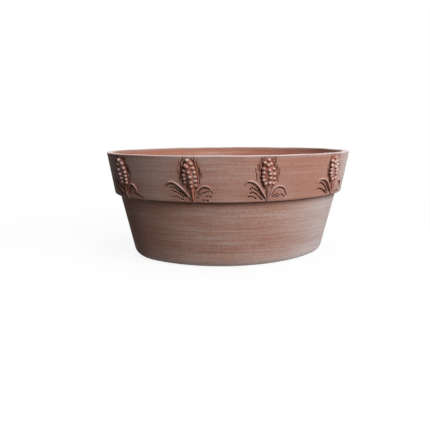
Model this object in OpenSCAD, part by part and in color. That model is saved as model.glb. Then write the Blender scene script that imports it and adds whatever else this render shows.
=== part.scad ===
// Oval terracotta planter with a thick rim band and ears of corn in relief.
// The origin is the middle of the underside. X runs along the length, the front
// faces -Y and Z points up. All sizes are in millimetres.

/* [Oval outline] */
// Length of the rim, outside
rim_length = 600; // [520:5:700]
// Width of the rim, outside
rim_width = 440; // [380:5:480]
// How much less the radius of the rounded ends is than half the width
end_flattening = 45; // [25:1:60]

/* [Heights] */
// Height of the pot from the ground to the top of the rim
pot_height = 256; // [220:1:300]
// Height of the rim band with its lip
band_height = 98; // [94:1:110]
// Height of the rounded lip on top of the band
lip_height = 7; // [5:0.5:8]

/* [Floor] */
// Thickness of the floor slab
floor_thickness = 18; // [14:1:26]
// Height of the ledge in the foot of the wall that carries the floor slab
ledge_height = 8; // [5:0.5:12]
// Width of the ledge
ledge_width = 18; // [12:0.5:24]
// Number of drain holes in a row along the length
drain_count = 3; // [1:1:3]
// Diameter of a drain hole
drain_diameter = 30; // [16:1:40]
// Distance between neighbouring drain holes
drain_spacing = 110; // [60:5:120]

/* [Wall] */
// Thickness of the wall, measured level
wall_thickness = 10; // [8:0.5:14]
// How far the foot lies inside the outline of the rim
foot_inset = 60; // [45:1:70]
// Radius of the rounding round the foot
foot_rounding = 18; // [6:0.5:18]

/* [Rim band] */
// How far the lower edge of the band lies inside the outline of the rim
band_inset = 15; // [8:0.5:20]
// Thickness of the band at its lower edge
band_foot = 11.5; // [8:0.5:14]
// Thickness of the band just below the lip
band_top = 4; // [3:0.5:8]
// Rounding of the lower edge of the band
band_edge = 3; // [1:0.5:5]
// Rounding of the upper edges of the lip
lip_rounding = 2; // [1:0.5:6]

/* [Ears of corn] */
// Number of ears round the band
ear_count = 9; // [6:1:11]
// Even place of the third ear, along the band from the middle of the front
ear_shift = 60; // [0:1:80]
// Height of the stalk's foot above the lower edge of the band
foot_rise = 3; // [2.5:0.5:6]
// Height of the cob's lower point above the lower edge of the band
cob_rise = 25; // [20:0.5:26]
// Length of a cob
cob_length = 69; // [50:0.5:70]
// Width of a cob
cob_width = 32; // [28:0.5:36]
// How far a cob stands out from the band
cob_relief = 7; // [5:0.5:9]
// Diameter of a kernel
kernel_diameter = 8.6; // [7:0.1:9.4]
// Space left between neighbouring kernels
kernel_gap = 0.8; // [0.4:0.1:1.5]
// Diameter of a stalk at its foot
stalk_foot = 5.2; // [4:0.2:5.6]
// Diameter of a stalk where it meets the cob
stalk_top = 9; // [6:0.2:10]

/* [Leaves] */
// How far the left leaf reaches sideways
left_reach = 56; // [50:1:60]
// How high the left leaf rises
left_rise = 38; // [30:1:44]
// How far the right leaf reaches sideways
right_reach = 39; // [34:1:45]
// How high the right leaf rises
right_rise = 31; // [24:1:36]
// Width of a leaf's ridge at its foot
leaf_width = 5; // [3:0.2:7]
// How far a leaf's ridge stands out from the band
leaf_relief = 3.6; // [2:0.2:5]
// Space between a leaf and the stalk at their feet
leaf_gap = 0.6; // [0.3:0.1:2]

/* [Hidden] */
$fn = 180;
oval_steps = 120;
face_facets = 720;
round_steps = 6;
kernel_facets = 36;
cob_facets = 72;
cob_steps = 24;
leaf_rings = 14;
leaf_sides = 5;

// Slip between a leaf and the band it lies on
slip = 0.05;
// Ears are set by hand: how far each is off its even place, as a share of the spacing
ear_offsets = [0.107, 0.033, -0.069, -0.022, -0.034, 0.022, -0.04, 0.017, 0.028, -0.045, 0.011];
// How many degrees each ear leans to the left
ear_leans = [5.3, 5.3, 3.9, 10, 6, 2, 8, 1.5, 5, 7, 4];
// Bends of the leaves, as shares of reach and rise, between foot and tip
left_bend = [[0.22, 0.71], [0.83, 1.48], [1, 0.77]];
right_bend = [[0.07, 1.00], [0.85, 1.42], [1, 0.42]];
// Share of the leaf's width and relief that is left at its tip
leaf_taper = 0.55;
// The cob's half width follows a sine raised to this power
cob_fullness = 0.4;
// How far out the side columns of kernels sit, as a share of the cob's half width
column_share = 0.68;
// Least height of a kernel's seat above the face of the band
least_seat = 0.1;
// Least width of the flat ring that the wall stands on
least_foot = 4;
// How deep the cuts that fit a piece to the band go
cut_depth = 50;
cut_margin = 10;

clay = "#b98370";
pale_clay = "#c29a8a";
red_clay = "#a8614b";

half_length = rim_length / 2;
half_width = rim_width / 2;
end_radius = half_width - end_flattening;
side_radius = (half_length ^ 2 + half_width ^ 2 - 2 * half_length * end_radius) / (2 * end_flattening);
end_centre = half_length - end_radius;
side_centre = side_radius - half_width;
turn_angle = atan2(side_centre, end_centre);

band_z = pot_height - band_height;
lip_z = pot_height - lip_height;
edge_round = min(band_edge, band_foot / 2);

// Insets are level distances inside the outline of the rim
function band_line(z) = band_inset * (pot_height - z) / band_height;
shoulder_inset = band_inset + band_foot;
top_inset = band_line(lip_z) + band_top;
function wall_line(z) =
    z < band_z
        ? foot_inset + (shoulder_inset - foot_inset) * z / band_z
        : shoulder_inset + (top_inset - shoulder_inset) * (z - band_z) / (lip_z - band_z);
lip_width = top_inset + wall_thickness;
floor_inset = wall_line(floor_thickness) + wall_thickness;
foot_round = min(foot_rounding, floor_inset + ledge_width - foot_inset - least_foot);
lip_round = min(lip_rounding, lip_height - 1);

// Lengths along the band are measured on the oval half way up it
band_slope = atan2(band_inset, band_height);
middle_inset = band_inset / 2;
side_reach = (side_radius - middle_inset) * (90 - turn_angle) * PI / 180;
end_reach = (end_radius - middle_inset) * 2 * turn_angle * PI / 180;
perimeter = 4 * side_reach + 2 * end_reach;
function side_turn(length) = length / (side_radius - middle_inset) * 180 / PI;
function end_turn(length) = length / (end_radius - middle_inset) * 180 / PI;

// Direction of the outward normal at a length along the band, from the middle of
// the front towards +X
function normal_at(length) =
    let (u = length - perimeter * floor(length / perimeter))
    u < side_reach ? -90 + side_turn(u)
    : u < side_reach + end_reach ? -turn_angle + end_turn(u - side_reach)
    : u < 3 * side_reach + end_reach ? turn_angle + side_turn(u - side_reach - end_reach)
    : u < 3 * side_reach + 2 * end_reach ? 180 - turn_angle + end_turn(u - 3 * side_reach - end_reach)
    : 180 + turn_angle + side_turn(u - 3 * side_reach - 2 * end_reach);

// Point of the oval at a normal direction and an inset
function oval_point(normal, inset) =
    abs(sin(normal)) > sin(turn_angle)
        ? [(side_radius - inset) * cos(normal),
           (side_radius - inset) * sin(normal) - sign(sin(normal)) * side_centre]
        : [(end_radius - inset) * cos(normal) + sign(cos(normal)) * end_centre,
           (end_radius - inset) * sin(normal)];

// Point at a length along the band, a height up its face and a distance out of it
function band_point(length, rise, out) =
    let (normal = normal_at(length))
    let (inset = band_inset - rise * sin(band_slope) - out * cos(band_slope))
    let (flat = oval_point(normal, inset))
    [flat.x, flat.y, band_z + rise * cos(band_slope) - out * sin(band_slope)];

// Half the width that the solid pieces of an ear take up
ear_reach = cob_width / 2 + cut_margin / 2;
function ear_place(i) = ear_shift + (i - 3 + ear_offsets[i - 1]) * perimeter / ear_count;

// The oval is made of four arcs, each with its own axis: the front, the right end,
// the back and the left end
function is_end(arc) = arc % 2 == 1;
function arc_radius(arc) = is_end(arc) ? end_radius : side_radius;
function arc_half_turn(arc) = is_end(arc) ? turn_angle : 90 - turn_angle;

// Wall, band and lip go round the oval in six sectors: one on each end arc, and two
// on the front and on the back that meet in the middle
sectors = ["front_left", "front_right", "right", "back_right", "back_left", "left"];
sector_arcs = [0, 0, 1, 2, 2, 3];
// Start and end of each sector, as shares of the half turn of its arc
sector_spans = [[-1, 0], [0, 1], [-1, 1], [-1, 0], [0, 1], [-1, 1]];

// Moves to the axis of an arc, with the arc's middle in the direction of X
module at_arc(arc) {
    rotate([0, 0, 90 * arc - 90])
        translate([is_end(arc) ? end_centre : -side_centre, 0, 0])
            children();
}

// One sector of a ring round the oval, from its section: points of inset and height
module ring_sector(sector, section) {
    arc = sector_arcs[sector];
    span = arc_half_turn(arc) * sector_spans[sector];
    at_arc(arc)
        rotate_extrude(angle = span[1] - span[0], start = span[0])
            polygon([for (p = section) [arc_radius(arc) - p.x, p.y]]);
}

// Outline of the oval at an inset
function oval_points(inset) = [for (k = [0 : oval_steps - 1]) oval_point(360 * k / oval_steps, inset)];

// Clay slab with drain holes, its edge stepped to lie on the ledge in the wall's foot
module floor_slab() {
    color(pale_clay)
        difference() {
            union() {
                linear_extrude(floor_thickness)
                    polygon(oval_points(floor_inset + ledge_width));
                translate([0, 0, ledge_height])
                    linear_extrude(floor_thickness - ledge_height)
                        polygon(oval_points(floor_inset));
            }
            for (i = [0 : drain_count - 1])
                translate([(i - (drain_count - 1) / 2) * drain_spacing, 0, -cut_margin])
                    cylinder(d = drain_diameter, h = floor_thickness + 2 * cut_margin);
        }
}

// One slab of the flaring wall, with a rounded foot and a ledge for the floor
module wall(sector) {
    foot = [for (i = [0 : round_steps])
        let (a = 90 * i / round_steps)
        let (z = foot_round * (1 - cos(a)))
        [wall_line(z) + foot_round * (1 - sin(a)), z]];
    outside = [[shoulder_inset, band_z], [top_inset, lip_z]];
    inside = [[lip_width, lip_z], [shoulder_inset + wall_thickness, band_z], [floor_inset, floor_thickness]];
    ledge = [[floor_inset, ledge_height], [floor_inset + ledge_width, ledge_height],
             [floor_inset + ledge_width, 0]];
    color(clay)
        ring_sector(sector, concat(foot, outside, inside, ledge));
}

// One strip of the band round the top of the wall, thicker at its lower edge
module band(sector) {
    edge = [for (i = [0 : round_steps])
        let (a = 90 * i / round_steps)
        let (z = band_z + edge_round * (1 - cos(a)))
        [band_line(z) + edge_round * (1 - sin(a)), z]];
    color(pale_clay)
        ring_sector(sector, concat([[shoulder_inset, band_z]], edge,
                                   [[band_line(lip_z), lip_z], [top_inset, lip_z]]));
}

// One coil of the lip that closes the top of wall and band, rounded over on both sides
module lip(sector) {
    rounding = [for (i = [0 : round_steps])
        let (a = 90 * i / round_steps)
        lip_round * [1 - cos(a), 1 - sin(a)]];
    outer_edge = [for (p = rounding) [p.x, pot_height - p.y]];
    inner_edge = [for (i = [round_steps : -1 : 0]) [lip_width - rounding[i].x, pot_height - rounding[i].y]];
    color(pale_clay)
        ring_sector(sector, concat([[band_line(lip_z), lip_z]], outer_edge, inner_edge, [[lip_width, lip_z]]));
}

// The arc that an ear is fitted to: a side arc if any of the ear lies on one
function on_side(length) = abs(sin(normal_at(length))) > sin(turn_angle);
function ear_arc(i) =
    let (place = ear_place(i))
    on_side(place - ear_reach) || on_side(place + ear_reach)
        ? (sin(normal_at(place)) < 0 ? 0 : 2)
        : (cos(normal_at(place)) > 0 ? 1 : 3);

// What lies behind the face of band and lip, to fit an ear to it
module behind_face(i) {
    low = band_z - cut_margin;
    high = pot_height + cut_margin;
    section = [[band_line(low), low], [band_line(lip_z), lip_z], [0, pot_height - lip_round],
               [0, high], [cut_depth, high], [cut_depth, low]];
    arc = ear_arc(i);
    at_arc(arc)
        rotate([0, 0, 180])
            rotate_extrude($fn = face_facets)
                polygon([for (p = section) [arc_radius(arc) - p.x, p.y]]);
}

// Puts an ear's own frame on the band: X sideways, Y up the band, Z out of it, with
// the stalk's foot at the origin
module on_band(i) {
    translate(band_point(ear_place(i), foot_rise, 0))
        rotate([0, 0, normal_at(ear_place(i)) + 90])
            rotate([90 + band_slope, 0, 0])
                rotate([0, 0, ear_leans[i - 1]])
                    children();
}

// A cob is part of a spindle whose axis lies below the face of the band
spindle_radius = ((cob_width / 2) ^ 2 + cob_relief ^ 2) / (2 * cob_relief);
spindle_depth = spindle_radius - cob_relief;
cob_start = cob_rise - foot_rise;
function cob_half_width(y) = cob_width / 2 * sin(180 * y / cob_length) ^ cob_fullness;
function spindle_at(y) = sqrt(cob_half_width(y) ^ 2 + spindle_depth ^ 2);

module spindle() {
    outline = [for (k = [0 : cob_steps])
        let (y = cob_length * k / cob_steps)
        [spindle_at(y), y]];
    translate([0, cob_start, -spindle_depth])
        rotate([-90, 0, 0])
            rotate_extrude($fn = cob_facets)
                polygon(concat([[0, 0]], outline, [[0, cob_length]]));
}

// Core of an ear, pressed on the band
module cob(i) {
    color(clay)
        difference() {
            on_band(i) spindle();
            behind_face(i);
        }
}

// Kernels stand in a middle column and, half a pitch between, in a column on each
// side, wherever the cob is high enough above the band to seat them
kernel_radius = kernel_diameter / 2;
kernel_pitch = kernel_diameter + kernel_gap;
kernel_rows = floor(cob_length / kernel_pitch);
least_step = sqrt(kernel_pitch ^ 2 - (kernel_pitch / 2) ^ 2);
function row_at(k) = cob_length / 2 + (k - (kernel_rows - 1) / 2) * kernel_pitch;
function column_step(y) = max(column_share * cob_half_width(y), least_step);
function cob_slope(y) =
    let (widening = cob_fullness * cob_half_width(y) / tan(180 * y / cob_length) * PI / cob_length)
    cob_half_width(y) * widening / spindle_at(y);
function seat_height(x, y) = sqrt(spindle_at(y) ^ 2 - x ^ 2) - spindle_depth;
function seat_tilt(x, y) = [atan(cob_slope(y)), asin(x / spindle_at(y))];
function seat_fits(x, y) =
    let (tilt = seat_tilt(x, y))
    let (level = cos(tilt.x) * cos(tilt.y))
    seat_height(x, y) - kernel_radius * sqrt(1 - level ^ 2) > least_seat;

// One dome of clay with its flat side on the cob
module kernel(x, y) {
    tilt = seat_tilt(x, y);
    if (seat_fits(x, y))
        translate([x, cob_start + y, seat_height(x, y)])
            rotate([0, tilt.y, 0])
                rotate([tilt.x, 0, 0])
                    rotate_extrude($fn = kernel_facets)
                        intersection() {
                            circle(kernel_radius);
                            square(kernel_diameter);
                        }
}

// All kernels of one ear
module kernels(i) {
    color(red_clay)
        on_band(i) {
            for (k = [0 : kernel_rows - 1])
                kernel(0, row_at(k));
            for (k = [0 : kernel_rows - 2], side = [-1, 1])
                kernel(side * column_step(row_at(k + 0.5)), row_at(k + 0.5));
        }
}

// Tapered stalk from the lower edge of the band to the cob
module stalk(i) {
    lap = max(row_at(0) - kernel_radius - kernel_gap, 0);
    color(clay)
        difference() {
            on_band(i)
                rotate([-90, 0, 0])
                    cylinder(d1 = stalk_foot, d2 = stalk_top, h = cob_start + lap);
            on_band(i) spindle();
            behind_face(i);
        }
}

// Point of a curve from a foot through two bends to a tip
function bend_point(foot, bend, t) =
    (1 - t) ^ 3 * foot + 3 * (1 - t) ^ 2 * t * bend[0] + 3 * (1 - t) * t ^ 2 * bend[1] + t ^ 3 * bend[2];
function bend_way(foot, bend, t) =
    let (way = 3 * (1 - t) ^ 2 * (bend[0] - foot) + 6 * (1 - t) * t * (bend[1] - bend[0])
             + 3 * t ^ 2 * (bend[2] - bend[1]))
    way / norm(way);

// A leaf is a half-round ridge that follows a bent line on the face of the band
module leaf(i, side, reach, rise, bend) {
    start = (stalk_foot + leaf_width) / 2 + leaf_gap;
    foot = [side * start, foot_rise];
    bends = [for (p = bend) [side * reach * p.x, foot_rise + rise * p.y]];
    points = [for (k = [0 : leaf_rings - 1], j = [0 : leaf_sides])
        let (t = k / (leaf_rings - 1))
        let (share = 1 - (1 - leaf_taper) * t)
        let (middle = bend_point(foot, bends, t))
        let (way = bend_way(foot, bends, t))
        let (a = 180 * j / leaf_sides)
        let (across = leaf_width / 2 * share * cos(a))
        band_point(ear_place(i) + middle.x + across * way.y, middle.y - across * way.x,
                   slip + leaf_relief * share * sin(a))];
    ring = leaf_sides + 1;
    last = (leaf_rings - 1) * ring;
    skin = [for (k = [0 : leaf_rings - 2], j = [0 : leaf_sides])
        let (next = (j + 1) % ring)
        each [[k * ring + j, k * ring + next, (k + 1) * ring + j],
              [k * ring + next, (k + 1) * ring + next, (k + 1) * ring + j]]];
    ends = [for (j = [1 : leaf_sides - 1])
        each [[0, j + 1, j], [last, last + j, last + j + 1]]];
    color(red_clay)
        polyhedron(points, concat(skin, ends));
}

// The longer leaf on the left of an ear and the shorter one on its right
module leaves(i) {
    leaf(i, -1, left_reach, left_rise, left_bend);
    leaf(i, 1, right_reach, right_rise, right_bend);
}

function round_nodes(word) = [for (sector = sectors) str(word, "_", sector)];
function ear_nodes(word) = [for (i = [1 : ear_count]) str(word, "_", i)];

floor_slab();
for (sector = [0 : len(sectors) - 1]) {
    wall(sector);
    band(sector);
    lip(sector);
}
for (i = [1 : ear_count]) {
    cob(i);
    kernels(i);
    stalk(i);
    leaves(i);
}
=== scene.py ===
import bmesh
import bpy
import numpy as np
from mathutils import Matrix, Vector


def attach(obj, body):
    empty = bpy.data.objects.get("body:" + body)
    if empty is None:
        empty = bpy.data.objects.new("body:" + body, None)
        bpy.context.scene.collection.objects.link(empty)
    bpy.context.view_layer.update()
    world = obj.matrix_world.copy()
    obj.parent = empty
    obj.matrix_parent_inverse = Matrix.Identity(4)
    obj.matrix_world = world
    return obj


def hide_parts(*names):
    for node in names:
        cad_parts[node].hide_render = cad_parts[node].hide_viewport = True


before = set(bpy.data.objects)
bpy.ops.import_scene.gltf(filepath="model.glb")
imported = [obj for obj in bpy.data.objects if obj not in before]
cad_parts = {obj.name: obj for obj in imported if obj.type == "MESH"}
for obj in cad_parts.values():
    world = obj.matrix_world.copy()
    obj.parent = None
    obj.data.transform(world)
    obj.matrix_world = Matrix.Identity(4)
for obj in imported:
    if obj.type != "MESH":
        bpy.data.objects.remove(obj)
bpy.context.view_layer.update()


# ---- Wall ---------------------------------------------------------------------------------------
# The flaring wall is slabs of red clay bent round an oval and joined end to end, with a rounded foot
# and a ledge for the floor inside. It was wiped level with a wet hand and fired without a glaze, and
# lime in the clay came out on it as a pale bloom.
HALF_LENGTH, HALF_WIDTH, END_RADIUS = 0.300, 0.220, 0.175
SIDE_RADIUS = ((HALF_LENGTH ** 2 + HALF_WIDTH ** 2 - 2 * HALF_LENGTH * END_RADIUS)
               / (2 * (HALF_WIDTH - END_RADIUS)))
SIDE_CENTRE, END_CENTRE = SIDE_RADIUS - HALF_WIDTH, HALF_LENGTH - END_RADIUS
TURN = np.arctan2(SIDE_CENTRE, END_CENTRE)
MIDDLE_INSET = 0.0075
SIDE_REACH = (SIDE_RADIUS - MIDDLE_INSET) * (np.pi / 2 - TURN)
END_REACH = (END_RADIUS - MIDDLE_INSET) * 2 * TURN
PERIMETER = 4 * SIDE_REACH + 2 * END_REACH
ARC_ENDS = np.cumsum([0, SIDE_REACH, END_REACH, 2 * SIDE_REACH, END_REACH, SIDE_REACH])
ARC_TURNS = np.array([-np.pi / 2, -TURN, TURN, np.pi - TURN, np.pi + TURN, 1.5 * np.pi])


def normal_along(length):
    """Direction of the outward normal at a length from the middle of the front towards +X: on each
    arc the normal turns evenly with the length, measured half way up the band."""
    return np.interp(length % PERIMETER, ARC_ENDS, ARC_TURNS)


def carry(length, inset, height):
    """Points of an oval of four arcs: a normal that points more along Y than at the joints of the
    arcs lies on a side arc, whose axis is on Y, and any other on an end arc, whose axis is on X. The
    inset shortens every radius alike, and the height is Z."""
    normal = normal_along(length)
    c, s = np.cos(normal), np.sin(normal)
    side = np.abs(s) > np.sin(TURN)
    side_radius, end_radius = SIDE_RADIUS - inset, END_RADIUS - inset
    x = np.where(side, side_radius * c, end_radius * c + np.sign(c) * END_CENTRE)
    y = np.where(side, side_radius * s - np.sign(s) * SIDE_CENTRE, end_radius * s)
    return np.stack(np.broadcast_arrays(x, y, height), axis=-1)


def wiping(length, height, seed, pitch):
    """Level marks of a wiping hand: a sum of nine cosines, each a few whole turns round the oval and
    about one turn in a pitch of height, with phases drawn from a seed; about -1 to 1."""
    draw, count = np.random.default_rng(seed), 9
    turns = draw.integers(-4, 5, count)
    steep = draw.uniform(0.5, 1.8, count)
    phase = draw.uniform(0, 2 * np.pi, count)
    waves = [np.cos(2 * np.pi * (n * length / PERIMETER + k * height / pitch) + p)
             for n, k, p in zip(turns, steep, phase)]
    return np.sum(waves, axis=0) / (count / 2)


def grid_faces(rows, columns, close_rows=False, close_columns=False, first=0):
    """Quads between neighbouring lines of a grid of points; a closed way joins its last line to its
    first."""
    i = np.arange(rows if close_rows else rows - 1)[:, None]
    j = np.arange(columns if close_columns else columns - 1)[None, :]
    i_next, j_next = (i + 1) % rows, (j + 1) % columns
    corners = [i * columns + j, i_next * columns + j, i_next * columns + j_next, i * columns + j_next]
    return first + np.stack(corners, axis=-1).reshape(-1, 4)


def shape(name, points, faces, finish, **shades):
    """New object from an array of points and arrays of faces, one array for each number of corners.
    It is smooth but for edges sharper than 40 degrees, and each shade is a number at every point."""
    mesh = bpy.data.meshes.new(name)
    corners = np.concatenate([f.ravel() for f in faces]).astype(np.int32)
    sizes = np.concatenate([np.full(len(f), f.shape[1]) for f in faces]).astype(np.int32)
    points = np.asarray(points, dtype=np.float32).reshape(-1, 3)
    mesh.vertices.add(len(points))
    mesh.vertices.foreach_set("co", points.ravel())
    mesh.loops.add(len(corners))
    mesh.loops.foreach_set("vertex_index", corners)
    mesh.polygons.add(len(sizes))
    mesh.polygons.foreach_set("loop_start", np.cumsum(sizes, dtype=np.int32) - sizes)
    mesh.update(calc_edges=True)
    mesh.shade_smooth()
    mesh.set_sharp_from_angle(angle=np.radians(40))
    for shade, values in shades.items():
        layer = mesh.attributes.new(shade, "FLOAT", "POINT")
        layer.data.foreach_set("value", np.asarray(values, dtype=np.float32).ravel())
    mesh.materials.append(finish)
    piece = bpy.data.objects.new(name, mesh)
    bpy.context.scene.collection.objects.link(piece)
    return piece


def add_node(tree, kind, inputs=(), **settings):
    """One node of a finish: its settings, and each input as a value or another node's output."""
    made = tree.nodes.new(kind)
    for setting, value in settings.items():
        setattr(made, setting, value)
    for place, value in dict(inputs).items():
        if isinstance(value, bpy.types.NodeSocket):
            tree.links.new(value, made.inputs[place])
        else:
            made.inputs[place].default_value = value
    return made


def noise(tree, where, scale, detail, roughness):
    """Smooth noise in space, from about 0 to 1: layers of ever finer noise, as many as the detail,
    each weaker than the last by the roughness."""
    return add_node(tree, "ShaderNodeTexNoise", {"Vector": where, "Scale": scale, "Detail": detail,
                                                 "Roughness": roughness}).outputs[0]


def calculate(tree, operation, *values, **settings):
    """One step of arithmetic in a finish, on two or three values."""
    made = add_node(tree, "ShaderNodeMath", enumerate(values), operation=operation, **settings)
    return made.outputs[0]


def spread(tree, value, low, high, first, last):
    """Number that goes straight from first to last while the value goes from low to high."""
    return add_node(tree, "ShaderNodeMapRange", {0: value, "From Min": low, "From Max": high,
                                                 "To Min": first, "To Max": last}).outputs[0]


def blend(tree, share, first, second):
    """Colour that lies a share of the way from the first colour to the second."""
    made = add_node(tree, "ShaderNodeMix", {0: share, 6: first, 7: second}, data_type="RGBA")
    return made.outputs[2]


def fired_clay(name, clay, pale, red, streak=0.50, cloud=0.32, sheen=0.2):
    """Unglazed clay: level streaks and soft clouds, both noise in the object's own space, are added
    up and choose between red clay, plain clay and a pale limy colour. A piece's bloom shade, real
    pale lime together with painted highlights, pushes it paler; its hollow shade, redder clay
    together with painted shade, pushes it redder and, at the top of its range, towards a dark painted
    shade. Sparse dark grits dot it, and a fine grain sets its roughness and bump."""
    finish = bpy.data.materials.new(name)
    finish.use_nodes = True
    tree = finish.node_tree
    tree.nodes.clear()
    place = add_node(tree, "ShaderNodeTexCoord").outputs["Object"]
    level = add_node(tree, "ShaderNodeMapping", {0: place, "Scale": (8.0, 8.0, 300.0)}).outputs[0]
    patch = add_node(tree, "ShaderNodeMapping", {0: place, "Scale": (6.0, 6.0, 26.0)}).outputs[0]
    streaks = noise(tree, level, scale=1.0, detail=4.0, roughness=0.6)
    clouds = noise(tree, patch, scale=1.0, detail=4.0, roughness=0.55)
    grain = noise(tree, place, scale=400.0, detail=3.0, roughness=0.6)
    mottle = noise(tree, place, scale=200.0, detail=2.0, roughness=0.5)
    mixed = calculate(tree, "MULTIPLY_ADD", mottle, 0.18, -0.13)
    for part, share in ((streaks, streak), (clouds, cloud), (grain, 0.32)):
        mixed = calculate(tree, "MULTIPLY_ADD", part, share, mixed)

    red_at, clay_at, pale_at = 0.32, 0.53, 0.82
    wash = add_node(tree, "ShaderNodeValToRGB", {0: mixed})
    wash.color_ramp.elements[0].position, wash.color_ramp.elements[0].color = red_at, (*red, 1)
    wash.color_ramp.elements[1].position, wash.color_ramp.elements[1].color = pale_at, (*pale, 1)
    wash.color_ramp.elements.new(clay_at).color = (*clay, 1)
    # Pale shade of a piece: lime bloom where the clay has it, painted highlights on kernel tops, leaf
    # crests and print tracks, a painted sheen at the right end and painted light on the foot
    bloom = add_node(tree, "ShaderNodeAttribute", attribute_name="bloom").outputs["Fac"]
    patchy = spread(tree, mixed, 0.38, 0.66, 0.55, 1.15)
    pale_share = calculate(tree, "MULTIPLY", bloom, patchy, use_clamp=True)
    paler = blend(tree, pale_share, wash.outputs[0], (*pale, 1))
    # Red shade of a piece: redder clay, plus painted shade in marks, under kernels and leaves, on cob
    # flanks, at the left end, under the band and inside the pot
    hollow = add_node(tree, "ShaderNodeAttribute", attribute_name="hollow").outputs["Fac"]
    redder = blend(tree, hollow, paler, (*red, 1))
    # Past 0.78 the red shade blends towards this near-black red as the deepest painted shade; the
    # same colour also dots the clay as grits
    dark = (*[0.15 * v for v in red], 1)
    darker = blend(tree, spread(tree, hollow, 0.78, 1.0, 0.0, 0.92), redder, dark)

    cells = add_node(tree, "ShaderNodeTexVoronoi", {"Vector": place, "Scale": 55.0}).outputs
    grit = spread(tree, cells["Distance"], 0.045, 0.095, 0.60, 0.0)
    some = calculate(tree, "GREATER_THAN", cells["Color"], 0.62)
    colour = blend(tree, calculate(tree, "MULTIPLY", grit, some), darker, dark)
    rough = spread(tree, mixed, 0.3, 0.75, 0.70, 0.95)
    lines = add_node(tree, "ShaderNodeBump",
                     {"Strength": 0.12, "Distance": 0.0008, "Height": streaks}).outputs[0]
    relief = add_node(tree, "ShaderNodeBump", {"Strength": 0.30, "Distance": 0.0005, "Height": grain,
                                               "Normal": lines}).outputs[0]
    shader = add_node(tree, "ShaderNodeBsdfPrincipled",
                      {"Base Color": colour, "Roughness": rough, "Normal": relief,
                       "Sheen Weight": sheen, "Sheen Roughness": 0.5, "Specular IOR Level": 0.08})
    out = add_node(tree, "ShaderNodeOutputMaterial")
    tree.links.new(shader.outputs[0], out.inputs[0])
    return finish


WALL_CLAY, WALL_PALE = (0.415, 0.228, 0.172), (0.55, 0.465, 0.445)
WALL_RED = (0.305, 0.110, 0.072)
wall_finish = fired_clay("wiped_wall_clay", WALL_CLAY, WALL_PALE, WALL_RED)

SHOULDER_Z, LIP_Z, TOP_Z = 0.158, 0.249, 0.256
BAND_INSET, BAND_HEIGHT, BAND_TOP = 0.015, TOP_Z - SHOULDER_Z, 0.004
LIP_FOOT_INSET = BAND_INSET * (TOP_Z - LIP_Z) / BAND_HEIGHT
SHOULDER_INSET, TOP_INSET = 0.0265, LIP_FOOT_INSET + BAND_TOP
WALL_THICKNESS, FOOT_ROUND, FOOT_INSET = 0.010, 0.018, 0.060
WALL_SPREAD = (SHOULDER_INSET - FOOT_INSET) / SHOULDER_Z
FLOOR_TOP, LEDGE_Z, LEDGE_WIDTH = 0.018, 0.008, 0.018
FLOOR_INSET = FOOT_INSET + WALL_SPREAD * FLOOR_TOP + WALL_THICKNESS
LIP_INSET = TOP_INSET + WALL_THICKNESS
WALL_COLUMNS, WIPING_DEPTH, WIPING_START, WIPING_FADE = 480, 0.00009, 0.012, 0.02
INNER_WIPING = 1.3
FOOT_ROWS, OUTER_ROWS, SHOWN_ROWS, UPPER_ROWS, LOWER_ROWS = 14, 66, 21, 16, 32

# Section of the wall, from the foot up the outside and down the inside; the rows lie closer where
# the inside shows over the rim
foot_turn = np.linspace(0, np.pi / 2, FOOT_ROWS)
foot_z = FOOT_ROUND * (1 - np.cos(foot_turn))
outer_z = np.concatenate([foot_z, np.linspace(FOOT_ROUND, SHOULDER_Z, OUTER_ROWS)[1:]])
outer_inset = FOOT_INSET + WALL_SPREAD * outer_z
outer_inset[:FOOT_ROWS] += FOOT_ROUND * (1 - np.sin(foot_turn))
SHOWN_Z = LIP_Z - 0.024
inner_z = np.concatenate([np.linspace(LIP_Z, SHOWN_Z, SHOWN_ROWS),
                          np.linspace(SHOWN_Z, SHOULDER_Z, UPPER_ROWS)[1:],
                          np.linspace(SHOULDER_Z, FLOOR_TOP, LOWER_ROWS)[1:]])
inner_inset = np.interp(inner_z, [FLOOR_TOP, SHOULDER_Z, LIP_Z],
                        [FLOOR_INSET, SHOULDER_INSET + WALL_THICKNESS, LIP_INSET])
ledge_inset = FLOOR_INSET + LEDGE_WIDTH
section_inset = np.concatenate([outer_inset, [TOP_INSET], inner_inset,
                                [FLOOR_INSET, ledge_inset, ledge_inset]])
section_z = np.concatenate([outer_z, [LIP_Z], inner_z, [LEDGE_Z, LEDGE_Z, 0]])
wiped = np.concatenate([np.clip((outer_z - WIPING_START) / WIPING_FADE, 0, 1), [0],
                        -INNER_WIPING * np.clip((LIP_Z - inner_z) / WIPING_FADE, 0, 1), [0, 0, 0]])
wall_length = np.linspace(0, PERIMETER, WALL_COLUMNS, endpoint=False)[:, None]
wall_marks = wiped * wiping(wall_length, section_z, seed=11, pitch=0.020)
wall_inset = section_inset + WIPING_DEPTH * wall_marks

# Bloom, redness and painted light by place. The outside is paler at the right end, partly bloom and
# partly a painted sheen where the light grazes it; paler low down and more so low at the left; and
# paler still round the foot, partly bloom and partly painted light that lifts the shade of its
# rounding. Painted shade makes the outside redder and darker at the left end, and just under the band
# a painted shadow of the band mixes with redder clay. The inside is red, made darker towards its ends
# with painted shade, but for pale wiping at the back.
round_share, from_left = wall_length / PERIMETER, wall_length - PERIMETER
is_inner = np.arange(len(section_z)) > len(outer_z)
# Paler at the right end: partly lime bloom, partly a painted sheen of the light that grazes the end
right_bloom = np.interp(wall_length, [0.07, 0.14, 0.19, 0.24, 0.45, 0.60],
                        [0, 0.28, 0.66, 1.0, 0.9, 0])
left_bloom = np.interp(from_left, [-0.45, -0.34, -0.25, -0.16], [0, 0.45, 0.35, 0])
low_bloom = np.clip(1 - section_z / 0.05, 0, 1)
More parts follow.
